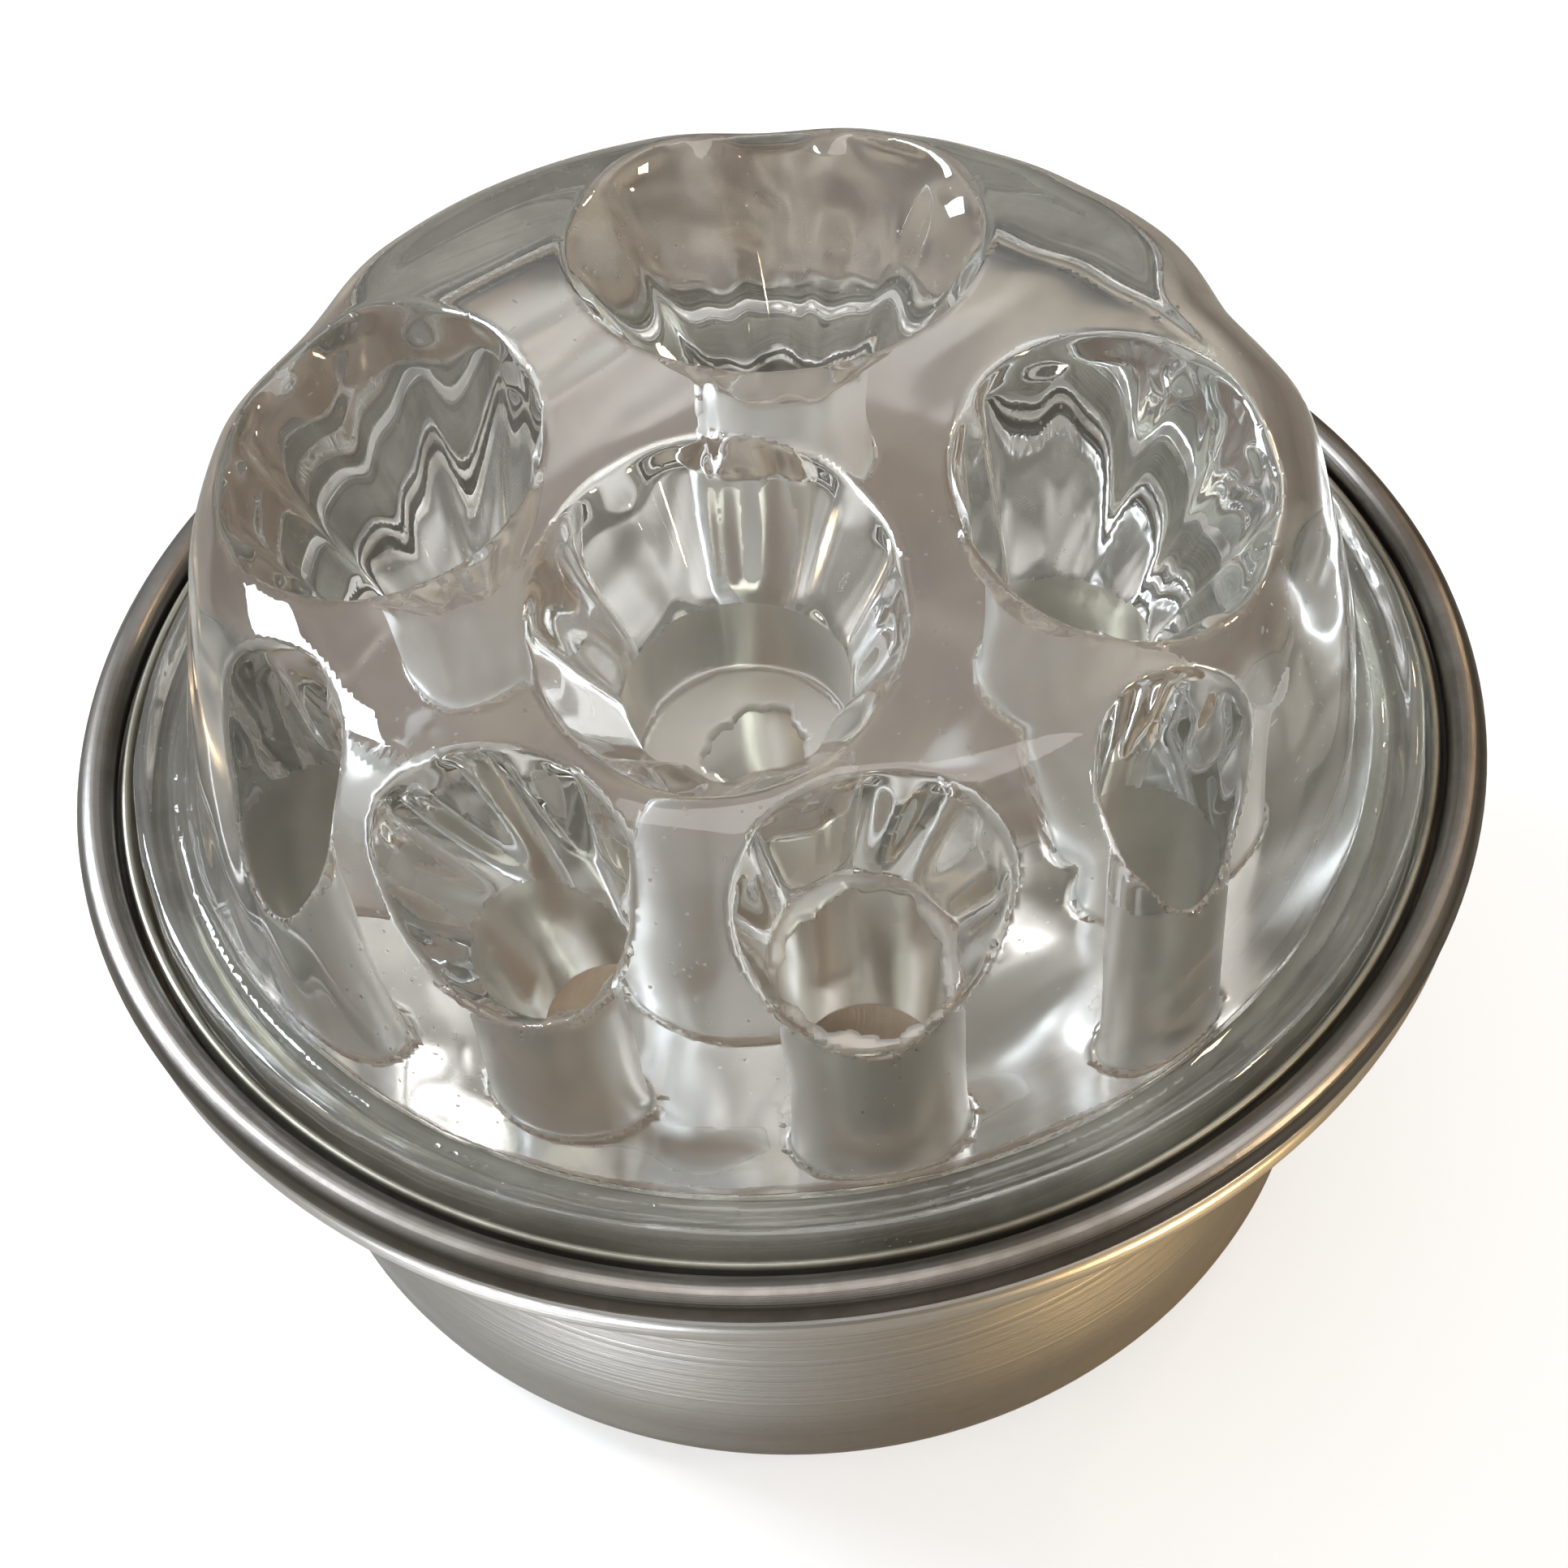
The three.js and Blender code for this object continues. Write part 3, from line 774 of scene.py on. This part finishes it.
def make_room():
    """Surroundings that run from dark brown below to pale above, uneven as a room is; plain to the camera."""
    world = bpy.data.worlds.new("room")
    bpy.context.scene.world = world
    world.use_nodes = True
    nodes, links = world.node_tree.nodes, world.node_tree.links
    nodes.clear()
    output = nodes.new("ShaderNodeOutputWorld")
    room = nodes.new("ShaderNodeBackground")
    pale = nodes.new("ShaderNodeBackground")
    pale.inputs["Color"].default_value = (0.93, 0.93, 0.93, 1)
    mix = nodes.new("ShaderNodeMixShader")
    seen = nodes.new("ShaderNodeLightPath")
    place = nodes.new("ShaderNodeTexCoord")
    split = nodes.new("ShaderNodeSeparateXYZ")
    shade = node(nodes, "ShaderNodeTexNoise", Scale=2.4, Detail=1.0)
    height = node(nodes, "ShaderNodeMath", operation="MULTIPLY_ADD")
    height.inputs[1].default_value = 0.45
    tone = ramp(nodes, [
        (0.2, (0.035, 0.032, 0.022)),
        (0.5, (0.07, 0.065, 0.047)),
        (0.74, (0.27, 0.255, 0.225)),
        (1.0, (0.88, 0.865, 0.84)),
    ])
    links.new(place.outputs["Generated"], split.inputs[0])
    links.new(place.outputs["Generated"], shade.inputs["Vector"])
    links.new(shade.outputs["Fac"], height.inputs[0])
    links.new(split.outputs["Z"], height.inputs[2])
    links.new(height.outputs[0], tone.inputs["Fac"])
    links.new(tone.outputs["Color"], room.inputs["Color"])
    links.new(seen.outputs["Is Camera Ray"], mix.inputs["Fac"])
    links.new(room.outputs["Background"], mix.inputs[1])
    links.new(pale.outputs["Background"], mix.inputs[2])
    links.new(mix.outputs["Shader"], output.inputs["Surface"])


def make_camera():
    """Close view from the front, about 50 degrees up, with a slight roll."""
    rim = RIM_RADIUS * MM
    elevation, roll, distance = math.radians(49.5), math.radians(-5.2), 4 * rim
    aside, below_rim = 0.003 * rim, 0.1885 * rim
    target = Vector((aside, 0, RIM_HEIGHT * MM - below_rim))
    forward = Vector((0, math.cos(elevation), -math.sin(elevation)))
    level = Vector((1, 0, 0))
    rise = level.cross(forward)
    right = math.cos(roll) * level + math.sin(roll) * rise
    up = right.cross(forward)
    turn = Matrix((right, up, -forward)).transposed().to_4x4()
    data = bpy.data.cameras.new("view")
    data.sensor_width = 36
    data.lens = 61.68
    data.clip_start = 0.01
    camera = bpy.data.objects.new("view", data)
    camera.matrix_world = Matrix.Translation(target - forward * distance) @ turn
    bpy.context.scene.collection.objects.link(camera)
    bpy.context.scene.camera = camera


make_floor()
make_lamps()
make_room()
make_camera()
scene = bpy.context.scene
scene.view_settings.view_transform = "Standard"
scene.cycles.max_bounces = 20
scene.cycles.transmission_bounces = 16
scene.cycles.glossy_bounces = 8
